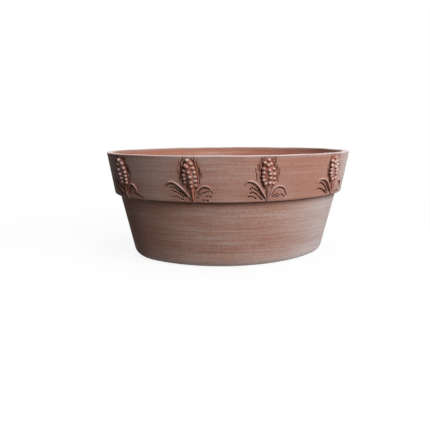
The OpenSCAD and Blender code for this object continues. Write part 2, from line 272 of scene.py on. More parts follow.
# Paler round the foot: partly bloom, partly painted light that lifts the shade of the rounded foot
foot_bloom = 0.6 * np.clip(1 - section_z / 0.02, 0, 1)
outer_bloom = 0.95 * right_bloom + (0.3 + left_bloom) * low_bloom + foot_bloom
wall_bloom = np.where(is_inner, 0, outer_bloom)
# Inside: red clay, darkened towards its ends with painted shade where the rim shades it, and paler
# where wiped at the back
inner_red_and_shade = np.interp(round_share, [0.25, 0.36, 0.42, 0.45, 0.53, 0.60, 0.75],
                      [0.80, 0.81, 0.72, 0.48, 0.48, 0.70, 0.80])
wiped_pale = np.interp(round_share, [0.44, 0.48, 0.58, 0.64], [0, 1, 1, 0])
inner_red_and_shade = inner_red_and_shade - 0.34 * wiped_pale * np.clip((0.247 - section_z) / 0.006, 0, 1)
pale_streak = np.interp(round_share, [0.42, 0.45, 0.55, 0.60], [0, 1, 1, 0])
inner_red_and_shade = inner_red_and_shade - 0.15 * pale_streak * np.exp(-((section_z - 0.2416) / 0.0024) ** 2)
inner_wiping = 0.10 * wiping(wall_length, section_z, seed=31, pitch=0.008)
inner_red_and_shade = np.clip(inner_red_and_shade + inner_wiping, 0, 0.84)
# Painted shade: the outside is darker and redder towards the left end
left_painted_shade = np.interp(from_left, [-0.42, -0.32, -0.24, -0.14], [0, 0.35, 0.28, 0])
# Just under the band: a painted shadow of the band mixed with redder clay
under_band_red_and_shadow = 0.42 * np.clip((section_z - 0.140) / 0.018, 0, 1)
wall_hollow = np.where(is_inner, inner_red_and_shade, np.maximum(left_painted_shade, under_band_red_and_shadow))
SECTORS = ["front_left", "front_right", "right", "back_right", "back_left", "left"]
wall = shape("oval_wall", carry(wall_length, wall_inset, section_z),
             [grid_faces(WALL_COLUMNS, len(section_z), True, True)], wall_finish,
             bloom=wall_bloom, hollow=wall_hollow)
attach(wall, "root")
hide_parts(*["wall_" + sector for sector in SECTORS])


# ---- Floor --------------------------------------------------------------------------------------
# The floor is one clay slab, rolled out and cut to the oval, with three drain holes pushed through it
# in a row. Its stepped edge lies on the ledge in the foot of the wall.
FLOOR_CLAY, FLOOR_PALE = (0.38, 0.205, 0.155), (0.47, 0.33, 0.28)
FLOOR_RED = (0.31, 0.135, 0.09)
floor_finish = fired_clay("rolled_floor_clay", FLOOR_CLAY, FLOOR_PALE, FLOOR_RED,
                          streak=0.15, cloud=0.85)
DRAIN_RADIUS, DRAIN_SPACING, DRAIN_EDGE, FLOOR_DIP = 0.015, 0.110, 0.0022, 0.0004
CELL_SIDE = 32
CELL_POINTS = 4 * CELL_SIDE
TOP_ROWS, UNDER_ROWS, EDGE_ROWS = 9, 5, 5


def outline_cell(middle, inset):
    """Edge of the part of the oval round one drain hole: from each cut half way to the next hole,
    straight down the cut in even steps, and between the cuts along the oval, closer near its ends."""
    cut = DRAIN_SPACING / 2
    reach = HALF_LENGTH - inset
    lower = middle - cut if middle > -cut else -reach
    upper = middle + cut if middle < cut else reach
    share = np.linspace(0, 1, CELL_SIDE + 1)[:-1]
    oval = carry(np.linspace(0, PERIMETER, 6001), inset, 0.0)
    front = oval[oval[:, 1] <= 0]
    front = front[np.argsort(front[:, 0])]

    def half_width(x):
        """Half the width of the oval at an X: minus the Y of its front edge there."""
        return -np.interp(x, front[:, 0], front[:, 1])

    x = lower + (upper - lower) * (1 - np.cos(np.pi * share)) / 2
    back_x = lower + upper - x
    right, left = half_width(np.array([upper, lower])) * [upper < reach, lower > -reach]
    return np.concatenate([np.stack([x, -half_width(x)], 1),
                           np.stack([np.full(CELL_SIDE, upper), -right + 2 * right * share], 1),
                           np.stack([back_x, half_width(back_x)], 1),
                           np.stack([np.full(CELL_SIDE, lower), left - 2 * left * share], 1)])


floor_points, floor_faces, floor_count = [], [], 0
edge_turn = np.linspace(0, np.pi / 2, EDGE_ROWS)
for hole in (-1, 0, 1):
    middle = np.array([hole * DRAIN_SPACING, 0.0])
    top, under = outline_cell(middle[0], FLOOR_INSET), outline_cell(middle[0], ledge_inset)
    way = (top - middle) / np.linalg.norm(top - middle, axis=1)[:, None]
    brink = middle + (DRAIN_RADIUS + DRAIN_EDGE) * way
    inwards = np.linspace(0, 1, TOP_ROWS + 1)[:-1, None, None]
    outwards = np.linspace(0, 1, UNDER_ROWS + 1)[1:, None, None]
    top_rows = np.concatenate([top + (brink - top) * inwards,
                               np.full((TOP_ROWS, CELL_POINTS, 1), FLOOR_TOP)], axis=2)
    under_rows = np.concatenate([brink + (under - brink) * outwards,
                                 np.zeros((UNDER_ROWS, CELL_POINTS, 1))], axis=2)
    edge_radius = DRAIN_RADIUS + DRAIN_EDGE * (1 - np.sin(edge_turn))
    edge_z = DRAIN_EDGE * (1 - np.cos(edge_turn))
    hole_radius = np.concatenate([edge_radius, edge_radius[::-1]])[:, None, None]
    hole_z = np.concatenate([FLOOR_TOP - edge_z, edge_z[::-1]])[:, None, None]
    hole_rows = np.concatenate([middle + hole_radius * way,
                                np.broadcast_to(hole_z, (2 * EDGE_ROWS, CELL_POINTS, 1))], axis=2)
    x, y = top_rows[1:, :, 0], top_rows[1:, :, 1]
    dip = FLOOR_DIP * (1 + np.cos(41 * x + 3 * hole) * np.cos(53 * y))
    top_rows[1:, :, 2] -= dip * np.linspace(0.3, 1, TOP_ROWS - 1)[:, None]
    rows = np.concatenate([top_rows, hole_rows, under_rows])
    floor_points.append(rows.reshape(-1, 3))
    floor_faces.append(grid_faces(len(rows), CELL_POINTS, False, True, floor_count)[:, ::-1])
    floor_count += len(rows) * CELL_POINTS
edge_rows = []
for inset in (ledge_inset, ledge_inset, FLOOR_INSET, FLOOR_INSET):
    left, centre, right = [outline_cell(hole * DRAIN_SPACING, inset) for hole in (-1.0, 0.0, 1.0)]
    edge_rows.append(np.concatenate([centre[:CELL_SIDE], right[:3 * CELL_SIDE],
                                     centre[2 * CELL_SIDE:3 * CELL_SIDE], left[2 * CELL_SIDE:],
                                     left[:CELL_SIDE]]))
edge_rows = np.stack(edge_rows)
edge_z = np.array([0, LEDGE_Z, LEDGE_Z, FLOOR_TOP])[:, None, None]
edge_rows = np.concatenate([edge_rows, np.broadcast_to(edge_z, (*edge_rows.shape[:2], 1))], axis=2)
floor_points.append(edge_rows.reshape(-1, 3))
floor_faces.append(grid_faces(*edge_rows.shape[:2], False, True, floor_count)[:, ::-1])
floor = shape("drained_floor", np.concatenate(floor_points), floor_faces, floor_finish)
joined = bmesh.new()
joined.from_mesh(floor.data)
bmesh.ops.remove_doubles(joined, verts=joined.verts, dist=0.00001)
bmesh.ops.dissolve_degenerate(joined, edges=joined.edges, dist=0.000001)
joined.to_mesh(floor.data)
joined.free()
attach(floor, "root")
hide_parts("floor_slab")


# ---- Rim band -----------------------------------------------------------------------------------
# Thick strips of clay are lapped on the top of the wall, with a rounded lower edge that stands out
# from it. Round each ear the face was scored with a knife and printed with a toothed wheel, and the
# clay stayed redder there.
BAND_CLAY, BAND_PALE = (0.415, 0.229, 0.178), (0.53, 0.435, 0.405)
BAND_RED = (0.335, 0.132, 0.086)
band_finish = fired_clay("smoothed_band_clay", BAND_CLAY, BAND_PALE, BAND_RED)
BAND_EDGE, BAND_STEP, BAND_WIPING, MARK_FADE = 0.003, 0.0008, 0.00008, 0.004
STRIP_EDGE_ROWS, STRIP_ROWS = 7, 112
BAND_SLOPE = np.arctan2(BAND_INSET, BAND_HEIGHT)


def on_band(length, rise, out):
    """Points at a length along the band, a rise up its sloping face from its lower edge and a
    distance out of the face."""
    inset = BAND_INSET - rise * np.sin(BAND_SLOPE) - out * np.cos(BAND_SLOPE)
    return carry(length, inset, SHOULDER_Z + rise * np.cos(BAND_SLOPE) - out * np.sin(BAND_SLOPE))


# The ears are set one by one: how far each is off its even place as a share of the spacing, how it
# leans to the left, and what was drawn round it, in millimetres sideways and up from the foot of its
# stalk
EARS, FOOT_RISE = 9, 0.003
EAR_SHIFTS = np.array([0.092, 0.033, -0.069, -0.008, -0.034, 0.022, -0.04, 0.017, 0.028])
EAR_PLACES = 0.060 + (np.arange(EARS) - 2 + EAR_SHIFTS) * PERIMETER / EARS
EAR_LEANS = np.radians([5.3, 5.3, 3.9, 10, 6, 2, 8, 1.5, 5])
COB_RISE, COB_LENGTH, COB_HALF_WIDTH, COB_FULLNESS = 0.025, 0.069, 0.0142, 0.4
LONG_LEAVES = [
    [(-1, 5), (-12, 18.5), (-23.3, 30.8), (-33.8, 39.9), (-42.2, 44.3), (-49.2, 44.9), (-55.2, 42.5),
     (-58.9, 38.1), (-60.2, 33.6)],
    [(-1.3, 4), (-9.5, 17.2), (-16.5, 27.8), (-23.1, 36.5), (-31.1, 43.5), (-38, 46.6), (-44.6, 46.8),
     (-49.4, 43.9), (-52.8, 36.4)],
    [(-1, 4), (-7, 12.4), (-13.5, 21.4), (-21, 30.4), (-29.4, 37.7), (-40, 42.4), (-50, 42.7),
     (-57.5, 38.4), (-62, 31.5)],
    [(-1.5, 5), (-9.7, 13.8), (-20, 21.4), (-31, 28.6), (-41, 34.2), (-50, 37.2), (-56.5, 35.6),
     (-60.5, 30)]]
SHORT_LEAVES = [
    [(2.5, 6), (4.5, 18), (7, 26), (10.4, 29.9), (16.3, 35.1), (23, 37.3), (29.5, 36.5), (34.3, 33.6),
     (37.4, 28.5), (39, 21.8)],
    [(2.8, 6), (4.2, 14), (5.5, 20.1), (8.4, 26.9), (13.4, 31.3), (20.3, 34.8), (27.7, 34.6),
     (34.7, 31.4), (39.3, 25.1), (43.9, 12.6)],
    [(2.5, 6), (2.8, 14), (5, 22), (8.5, 29), (12, 33), (18, 34.5), (24.1, 32.8), (27.9, 27.6),
     (30.5, 20.6), (32.7, 12.7)]]
PRINTS = [
    [[(-50.4, 31.9), (-43.1, 33), (-38.1, 29.3), (-32.2, 25.7), (-24.7, 19.9), (-18.2, 13.2)],
     [(-48.3, 25), (-42.2, 23.6), (-33.5, 20.4), (-26.7, 16.3), (-21.8, 11.3)],
     [(-51.4, 11.8), (-40.4, 12.3), (-33.4, 10.4), (-27.4, 7.6), (-22.2, 5.2)],
     [(6, 9.5), (14.6, 18.3), (20.5, 21), (25.6, 23.2), (34.8, 25.4)],
     [(20, 5.4), (27.6, 5.6), (33.5, 3.9)],
     [(27, 14.2), (34.5, 14.3), (41.1, 10.9)]],
    [[(-40.7, 28.8), (-36.7, 32.1), (-30.5, 28.5), (-23.3, 23.6), (-16.7, 16.9), (-10, 10.5),
      (-5.1, 5.1)],
     [(-41.5, 19.8), (-36.1, 22.3), (-28.2, 18.6), (-20.8, 12.7), (-13.2, 5.4)],
     [(-45, 12.2), (-39.1, 13.8), (-32, 11.4), (-25.7, 7.2)],
     [(11.7, 11.2), (17.8, 15.7), (25.2, 16.6)],
     [(17.5, 9.6), (23.9, 11.9), (31.1, 15.4), (37.6, 10.1), (41, 6.8)]],
    [[(-55, 30.9), (-50, 32.9), (-41.7, 30.6), (-32, 24.8), (-25, 18.3), (-19, 10.9)],
     [(-57, 18), (-49.7, 19.8), (-39, 16.3), (-27.8, 11), (-20.4, 6)],
     [(14.4, 4.7), (23, 7.2), (35, 6.7)]],
    [[(19, 12.7), (24.3, 13.1), (30, 10.7), (34.5, 8.2), (40, 5.8), (44.3, 3.3)],
     [(-52, 24), (-40, 20.5), (-29, 15), (-19, 8)]]]
SCORES = [
    [(-19.3, 97.6, -20.2, 88), (-27.5, 86.9, -28.1, 76), (-25.2, 79, -25.9, 66),
     (-31.5, 67.1, -31.9, 60), (-27.6, 62.2, -30.8, 48.7), (-25.7, 55, -28.9, 45), (8.7, 88, 9.5, 75),
     (13.7, 74, 13.4, 58), (13.5, 56, 13.7, 40), (17.5, 63, 17, 50), (-13, 98, -13.4, 92),
     (-2.6, 98, -2.4, 90), (2.4, 97.5, 3, 91)],
    [(-21.4, 95, -21.1, 86), (-27.4, 80, -27.3, 70), (-23, 78, -22.9, 65), (-31.4, 71, -31.1, 63),
     (-28.8, 62.1, -27.9, 47), (4.5, 98, 5.2, 90), (9, 97, 10.9, 84), (14.9, 78, 16.3, 63),
     (17.5, 61, 19.4, 42), (20.5, 70, 21.5, 57), (-14.7, 98, -15, 92), (-10.1, 98.5, -10, 94),
     (3.8, 98, 3.5, 93)]]
# Which drawing each ear has: long leaf, short leaf, prints, scores and kernels
EAR_DRAWINGS = [(3, 2, 3, 0, 2), (0, 0, 0, 0, 0), (1, 1, 1, 1, 1), (2, 1, 2, 1, 1), (1, 0, 0, 1, 1),
                (0, 1, 1, 0, 0), (1, 1, 0, 1, 1), (0, 0, 1, 0, 0), (2, 0, 1, 1, 1)]
# Half widths of prints and scores for each set of prints, and the other sizes of marks, in
# millimetres
PRINT_WIDTHS, SCORE_WIDTHS = [2.0, 2.0, 2.7, 2.7], [1.4, 1.4, 2.1, 1.5]
PRINT_PITCH, PRINT_HALF_LENGTH, PRINT_DEPTH, PRINT_FLAT = 4.7, 0.2, 3.4, 3.0
SCORE_DEPTH, SCORE_FLAT, LOOSE_SCORES = 1.8, 1.7, 16
TRACK_WIDTH, TRACK_FLAT, TRACK_RISE = 3.0, 1.4, 0.25
FURROW_WIDTH, LEAF_FURROW_DEPTH, COB_FURROW_DEPTH, LEAF_FURROW_OFFSET = 1.9, 1.5, 1.6, 4.6
MARK_REACH, ARC_STEPS, LEAF_STEPS, COB_STEPS = 75, 60, 26, 22
# Shares by which clay is redder round cob and leaves, redder and darker in marks as painted shade and
# darker still deep in them, and paler in tracks as a painted highlight
COB_RED, LEAF_RED, MARK_RED_AND_SHADE, DEEP_SHADE, TRACK_HIGHLIGHT = 0.45, 0.58, 0.32, 0.40, 0.35


def bent_line(points, count):
    """Smooth line through given points: between two of them a cubic whose slope at each is half the
    step between its neighbours, read at evenly spaced shares of the way."""
    p = np.array(points, dtype=float)
    p = np.vstack([2 * p[0] - p[1], p, 2 * p[-1] - p[-2]])
    way = np.linspace(0, len(points) - 1 - 1e-9, count)
    k = way.astype(int)
    t = (way - k)[:, None]
    a, b, c, d = p[k], p[k + 1], p[k + 2], p[k + 3]
    return b + 0.5 * t * (c - a + t * (2 * a - 5 * b + 4 * c - d + t * (3 * (b - c) + d - a)))


def leaf_taper(share):
    """Thickness of a leaf at a share of its length, as a share of its full thickness: full at first,
    and over the last third straight down to a blunt tip."""
    return np.clip(3.2 * (1.02 - share), 0.12, 1)


def cob_half_width(share):
    """Half the width of a cob at a share of its length: the greatest, times the sine of a half turn
    of that share raised to a power below one, which makes it fuller."""
    return COB_HALF_WIDTH * np.sin(np.pi * share) ** COB_FULLNESS


def groove(x, y, x0, y0, x1, y1, width, depth, flat=1.0):
    """Mark along a straight line: full depth on the line, and at a distance from it less by the
    square of that distance as a share of the width, down to nothing. A flat above 1 makes its bottom
    as much broader."""
    dx, dy = x1 - x0, y1 - y0
    share = np.clip(((x - x0) * dx + (y - y0) * dy) / (dx * dx + dy * dy), 0, 1)
    away = ((x - x0 - share * dx) ** 2 + (y - y0 - share * dy) ** 2) / width ** 2
    return depth * np.clip(flat * (1 - away), 0, 1)


def beside_ear(ear, length):
    """Millimetres along the band from an ear's foot to a length, the shorter way round."""
    return 1000 * ((length - EAR_PLACES[ear] + PERIMETER / 2) % PERIMETER - PERIMETER / 2)


def end_faces(rows, columns):
    """Two faces that close a tube of points: its first row, and its last row backwards."""
    row = np.arange(columns)
    return np.stack([row, (rows - 1) * columns + row[::-1]])


def ear_marks(ear, x, y):
    """Depth of the tool marks round one ear, how red the clay is there with a painted shade that
    deepens in the marks, and a painted highlight along the print arcs, at millimetres sideways and up
    from its foot. The depth is that of the deepest of the knife scores, the tooth prints set evenly
    on their arcs, and the furrows under leaves and beside the cob; along the arcs the clay between
    its prints is a little raised and painted pale, a highlight of the lit edges of the prints."""
    long_leaf, short_leaf, prints, scores, _ = EAR_DRAWINGS[ear]
    draw = np.random.default_rng(100 + ear)
    depth = np.zeros(np.broadcast(x, y).shape)
    track = np.zeros_like(depth)
    lean = np.tan(EAR_LEANS[ear])
    foot, rise, length = 1000 * FOOT_RISE, 1000 * COB_RISE, 1000 * COB_LENGTH

    def cut(marks, line, *sizes):
        """Deepens an array of marks by a groove along a line, where the groove is deeper."""
        np.maximum(marks, groove(x, y, *line, *sizes), out=marks)

    loose = []
    sides, offs = [-1, 1] * (LOOSE_SCORES // 2), draw.uniform(1, 7, LOOSE_SCORES)
    for side, off, high in zip(sides, offs, draw.uniform(50, 98, LOOSE_SCORES)):
        along = np.array([high, high - draw.uniform(5, 12)])
        half = 1000 * cob_half_width(np.clip((along - rise) / length, 0.05, 0.95))
        x0, x1 = -lean * (along - foot) + side * (half + off)
        loose.append((x0, along[0], x1, along[1]))
    for line in SCORES[scores] + loose:
        cut(depth, line, SCORE_WIDTHS[prints], SCORE_DEPTH, SCORE_FLAT)
    for arc in PRINTS[prints]:
        line = bent_line(arc, ARC_STEPS)
        run = np.concatenate([[0], np.cumsum(np.linalg.norm(np.diff(line, axis=0), axis=1))])
        for at in np.arange(1.0, run[-1] - 0.5, PRINT_PITCH):
            at += draw.uniform(-0.4, 0.4)
            ends = [np.interp(at + side * PRINT_HALF_LENGTH, run, line[:, k])
                    for side in (-1, 1) for k in (0, 1)]
            cut(depth, ends, PRINT_WIDTHS[prints], PRINT_DEPTH, PRINT_FLAT)
        for start, end in zip(line[:-4:4], line[4::4]):
            cut(track, (*start, *end), TRACK_WIDTH, 1.0, TRACK_FLAT)
    for leaf, inner in ((LONG_LEAVES[long_leaf], 1), (SHORT_LEAVES[short_leaf], -1)):
        line = bent_line(leaf, LEAF_STEPS)
        step = np.gradient(line, axis=0)
        across = np.stack([-step[:, 1], step[:, 0]], 1) / np.linalg.norm(step, axis=1)[:, None]
        taper = leaf_taper(np.linspace(0, 1, LEAF_STEPS))[:, None]
        furrow = line + LEAF_FURROW_OFFSET * inner * taper * across
        for start, end in zip(furrow[3:-1], furrow[4:]):
            cut(depth, (*start, *end), FURROW_WIDTH, LEAF_FURROW_DEPTH)
    share = np.linspace(0.06, 0.97, COB_STEPS)
    up = rise + length * share
    half = 1000 * cob_half_width(share) + 0.2
    for side in (-1, 1):
        edge = np.stack([-lean * (up - foot) + side * half, up], 1)
        for start, end in zip(edge[:-1], edge[1:]):
            cut(depth, (*start, *end), FURROW_WIDTH, COB_FURROW_DEPTH)
    round_cob = np.exp(-((x + lean * (y - foot)) / 25) ** 4 - ((y - 62) / 44) ** 4)
    round_leaves = np.exp(-((x + 8) / 52) ** 4 - ((y - 14) / 30) ** 4)
    red = np.maximum(COB_RED * round_cob, LEAF_RED * round_leaves) * (1 - 0.5 * track)
    # Painted shade: marks get redder, and deep ones go dark
    red = red + MARK_RED_AND_SHADE * np.clip(depth, 0, 1) + DEEP_SHADE * np.clip(depth - 1.2, 0, 1)
    red = np.clip(red, 0, 1)
    return depth - TRACK_RISE * track * np.clip(1 - depth, 0, 1), red, track


edge_turn = np.linspace(0, np.pi / 2, STRIP_EDGE_ROWS)
edge_rise = BAND_EDGE * (1 - np.cos(edge_turn))
face_rise = np.concatenate([edge_rise,
                            np.linspace(BAND_EDGE, LIP_Z - SHOULDER_Z, STRIP_ROWS)[1:]])
face_inset = BAND_INSET * (1 - face_rise / BAND_HEIGHT)
face_inset[:STRIP_EDGE_ROWS] += BAND_EDGE * (1 - np.sin(edge_turn))
face_up = 1000 * face_rise / np.cos(BAND_SLOPE)
fade = np.clip(face_rise / MARK_FADE, 0, 1)
columns = len(face_rise) + 2
strip_ends = {"front": (-SIDE_REACH, SIDE_REACH), "right": (SIDE_REACH, SIDE_REACH + END_REACH),
              "back": (SIDE_REACH + END_REACH, 3 * SIDE_REACH + END_REACH),
              "left": (-SIDE_REACH - END_REACH, -SIDE_REACH)}
for strip, (start, end) in strip_ends.items():
    strip_length = np.linspace(start, end, int((end - start) / BAND_STEP) + 1)
    deep = BAND_WIPING * wiping(strip_length[:, None], face_rise, seed=23, pitch=0.016)
    red = np.interp(strip_length, [-0.08, 0.05, 0.12, 0.22, 0.28], [0, 0.15, 0.52, 0.46, 0])
    pale = np.interp(strip_length, [-0.53, -0.40, -0.28, -0.10, 0.21, 0.26, 0.30, 0.45, 0.53],
                     [0, 0.45, 0.32, 0.05, 0, 0.7, 1.0, 0.8, 0])
    red, pale = [np.repeat(values[:, None], len(face_rise), axis=1) for values in (red, pale)]
    for ear in range(EARS):
        away = beside_ear(ear, strip_length)
        near = np.abs(away) < MARK_REACH
        if near.any():
            marks, red_and_mark_shade, track = ear_marks(ear, away[near][:, None], face_up[None, :])
            deep[near] += 0.001 * marks
            # The marks bring their red clay and painted shade onto the band, and the print tracks
            # their painted highlight
            red[near] = np.maximum(red[near] * (1 - 0.6 * track), red_and_mark_shade)
            pale[near] = np.maximum(pale[near], TRACK_HIGHLIGHT * track)
    deep *= fade
    rows = len(strip_length)
    back_inset = np.tile([TOP_INSET, SHOULDER_INSET], (rows, 1))
    back_height = np.tile([LIP_Z, SHOULDER_Z], (rows, 1))
    inset = np.column_stack([face_inset + deep * np.cos(BAND_SLOPE), back_inset])
    height = np.column_stack([SHOULDER_Z + face_rise + deep * np.sin(BAND_SLOPE), back_height])
    faces = [grid_faces(rows, columns, False, True), end_faces(rows, columns)]
    band = shape("band_strip_" + strip, carry(strip_length[:, None], inset, height), faces,
                 band_finish, hollow=np.column_stack([red, np.zeros((rows, 2))]),
                 bloom=np.column_stack([pale, np.zeros((rows, 2))]))
    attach(band, "root")
    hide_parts(*["band_" + sector for sector in SECTORS if sector.startswith(strip)])


# ---- Lip ----------------------------------------------------------------------------------------
# A coil of clay closes the top of wall and band. It was pressed flat with a wet strip of leather,
# which rounded both its edges and drew fine pale clay to the top.
LIP_CLAY, LIP_PALE, LIP_RED = (0.39, 0.238, 0.196), (0.565, 0.497, 0.488), (0.32, 0.135, 0.092)
lip_finish = fired_clay("pressed_lip_clay", LIP_CLAY, LIP_PALE, LIP_RED)
LIP_ROUND, TOP_MARGIN, LIP_SAG, LIP_MARK_REACH = 0.0017, 0.005, 0.0004, 40
LIP_COLUMNS, FACE_ROWS, ROUND_ROWS, LEVEL_ROWS = 1600, 6, 9, 5
lip_turn = np.linspace(0, np.pi / 2, ROUND_ROWS)
round_in, round_down = LIP_ROUND * (1 - np.cos(lip_turn)), LIP_ROUND * (1 - np.sin(lip_turn))
lip_inset = np.concatenate([np.linspace(LIP_FOOT_INSET, 0, FACE_ROWS)[:-1], round_in,
                            np.linspace(TOP_MARGIN, LIP_INSET - TOP_MARGIN, LEVEL_ROWS),
                            LIP_INSET - round_in[::-1], [LIP_INSET]])
lip_z = np.concatenate([np.linspace(LIP_Z, TOP_Z - LIP_ROUND, FACE_ROWS)[:-1], TOP_Z - round_down,
                        np.full(LEVEL_ROWS, TOP_Z), TOP_Z - round_down[::-1], [LIP_Z]])
lip_length = np.linspace(0, PERIMETER, LIP_COLUMNS, endpoint=False)[:, None]
raised = (lip_z - LIP_Z) / (TOP_Z - LIP_Z)
right_red = np.interp(lip_length, [0.03, 0.12, 0.22, 0.28], [0, 0.45, 0.4, 0])
lip_hollow = np.where(lip_inset > LIP_INSET / 2, 0.7, right_red) * (1 - raised)
lip_inset = np.tile(lip_inset, (LIP_COLUMNS, 1))
face_up = 1000 * (lip_z[:FACE_ROWS] - SHOULDER_Z) / np.cos(BAND_SLOPE)
for ear in range(EARS):
    away = beside_ear(ear, lip_length)
    near = np.abs(away[:, 0]) < LIP_MARK_REACH
    marks, red_and_mark_shade, _ = ear_marks(ear, away[near], face_up)
    lip_inset[near, :FACE_ROWS] += 0.001 * marks * np.linspace(1, 0.3, FACE_ROWS)
    # The marks' red clay and painted shade carry up the lip face, fading as it rises
    red_and_mark_shade = red_and_mark_shade * np.linspace(1, 0.4, FACE_ROWS)
    lip_hollow[near, :FACE_ROWS] = np.maximum(lip_hollow[near, :FACE_ROWS], red_and_mark_shade)
round_share = lip_length / PERIMETER
top_bloom = np.interp(round_share, [0, 0.04, 0.10, 0.26, 0.30, 0.42, 0.48, 0.74, 0.82, 0.92, 1],
                      [1.5, 1.4, 0.8, 0.7, 0.2, 0.2, 0.5, 0.3, 0.15, 0.3, 1.5])
face_bloom = np.interp(lip_length, [0.21, 0.26, 0.30, 0.40, 0.45], [0, 0.6, 0.8, 0.7, 0])
face_bloom = face_bloom * (lip_inset < LIP_INSET / 2)
lip_bloom = np.maximum(top_bloom * np.clip(raised * 6 - 5, 0, 1), face_bloom)
full_turns = 2 * np.pi * round_share
sag = LIP_SAG * (1 + np.cos(5 * full_turns + 1) * np.cos(13 * full_turns))
lip = shape("pressed_lip", carry(lip_length, lip_inset, lip_z - raised * sag),
            [grid_faces(*lip_inset.shape, True, True)], lip_finish,
            bloom=lip_bloom, hollow=lip_hollow)
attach(lip, "root")
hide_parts(*["lip_" + sector for sector in SECTORS])


# ---- Cobs ---------------------------------------------------------------------------------------
# The core of each ear is a spindle of soft red clay pressed on the band. Its face shows between the
# kernels dark red, partly redder clay and partly painted shade that deepens towards both flanks.
RELIEF_CLAY, RELIEF_PALE = (0.375, 0.148, 0.100), (0.60, 0.475, 0.435)
RELIEF_RED = (0.28, 0.078, 0.046)
relief_finish = fired_clay("pressed_relief_clay", RELIEF_CLAY, RELIEF_PALE, RELIEF_RED,
                           streak=0.2, cloud=0.8, sheen=0.1)
COB_RELIEF, SKIN_SINK, SKIN_DENT, BURIED = 0.0070, 0.0004, 0.0005, 0.0012
SPINDLE_DEPTH = (COB_HALF_WIDTH ** 2 - COB_RELIEF ** 2) / (2 * COB_RELIEF)
COB_ROWS, SKIN_COLUMNS = 40, 19
COB_COLUMNS = 2 * SKIN_COLUMNS - 2


def cob_height(x, share):
    """How far a cob stands out of the band at a distance from its middle: a round section whose axis
    lies below the band by the spindle's depth."""
    half = cob_half_width(np.clip(share, 1e-4, 1 - 1e-4))
    return np.sqrt(np.clip(half ** 2 + SPINDLE_DEPTH ** 2 - x ** 2, 0, None)) - SPINDLE_DEPTH


def on_ear(ear, points):
    """Points of an ear from metres sideways, up along its leaning middle from the foot, and out of
    the band: the first two are turned by the ear's lean about the foot of its stalk."""
    x, y, out = points[..., 0], points[..., 1] - FOOT_RISE, points[..., 2]
    c, s = np.cos(EAR_LEANS[ear]), np.sin(EAR_LEANS[ear])
    return on_band(EAR_PLACES[ear] + x * c - y * s, FOOT_RISE + y * c + x * s, out)


for ear in range(EARS):
    share = (1 - np.cos(np.pi * np.linspace(0.02, 0.98, COB_ROWS)))[:, None] / 2
    across = np.linspace(1, -1, SKIN_COLUMNS)[None, :]
    x = across * cob_half_width(share)
    y = COB_RISE + COB_LENGTH * share
    dent = SKIN_DENT * np.cos(1300 * x + 2 * ear) * np.cos(900 * y + ear) * (1 - across ** 4)
    out = cob_height(x, share) - SKIN_SINK + dent
    skin = np.stack(np.broadcast_arrays(x, y, out), axis=-1)
    back = skin[:, ::-1][:, 1:-1] * [1, 1, 0] - [0, 0, BURIED]
    points = np.concatenate([skin, back], axis=1)
    # Painted shade: the core's red grows towards dark at both flanks; the middle is redder clay with
    # some painted shade between the kernels
    core_red_and_shade = 0.58 + 0.34 * np.clip((np.abs(across[0]) - 0.66) / 0.2, 0, 1)
    red = np.concatenate([core_red_and_shade, np.full(SKIN_COLUMNS - 2, 0.7)])
    faces = [grid_faces(COB_ROWS, COB_COLUMNS, False, True), end_faces(COB_ROWS, COB_COLUMNS)]
    cob = shape(f"ear_{ear + 1}_core", on_ear(ear, points), faces, relief_finish,
                hollow=np.broadcast_to(red, points.shape[:2]))
    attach(cob, "root")
    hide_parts(f"cob_{ear + 1}")


# ---- Kernels ------------------------------------------------------------------------------------
# The kernels are pellets of clay, rolled by hand and pressed on the cob in three rows. Their tops
# carry a painted highlight on the side that faces the light, and their lower halves a painted shade.
KERNELS = [
    [(-9.2, 89.3), (-1.3, 82.6), (-13.2, 79), (-9, 76.6), (2.2, 73.9), (-16.4, 68.5), (-6.5, 65.5),
     (4.7, 64.8), (-16.9, 59.3), (-3.4, 55.6), (5.3, 56), (-16, 51.7), (-3, 44.7), (6.2, 46.8),
     (-16.4, 43.5), (6.2, 37.2), (-2.4, 35.2)],
    [(-4.6, 89.2), (-13, 83.8), (-6.6, 79.2), (-0.8, 81.6), (-14.6, 71.8), (-4.2, 69), (6.3, 71.2),
     (-14.5, 63.3), (-1.6, 61.5), (8.8, 59.6), (-15, 55.7), (-0.6, 52.8), (10.4, 50), (-12.9, 48.3),
     (-0.5, 42.3), (9, 40.4), (-9, 40.6)],
    [(-9.4, 86), (-0.2, 79), (-14.4, 76.4), (3.3, 68.6), (-10.6, 65.3), (5.8, 59.6), (-8.2, 55.4),
     (5.4, 51.3), (-6.7, 47), (5, 43.8), (-7, 38.1), (4.2, 35.8), (-18, 67), (-18, 58), (-17, 49.7),
     (-15, 41)]]
KERNEL_LEANS = np.radians([5.3, 3.9, 5.3])
KERNEL_RADIUS, KERNEL_SINK, KERNEL_SHIFT, LEAST_SEAT = 0.0046, 0.0009, 0.0007, 0.0008
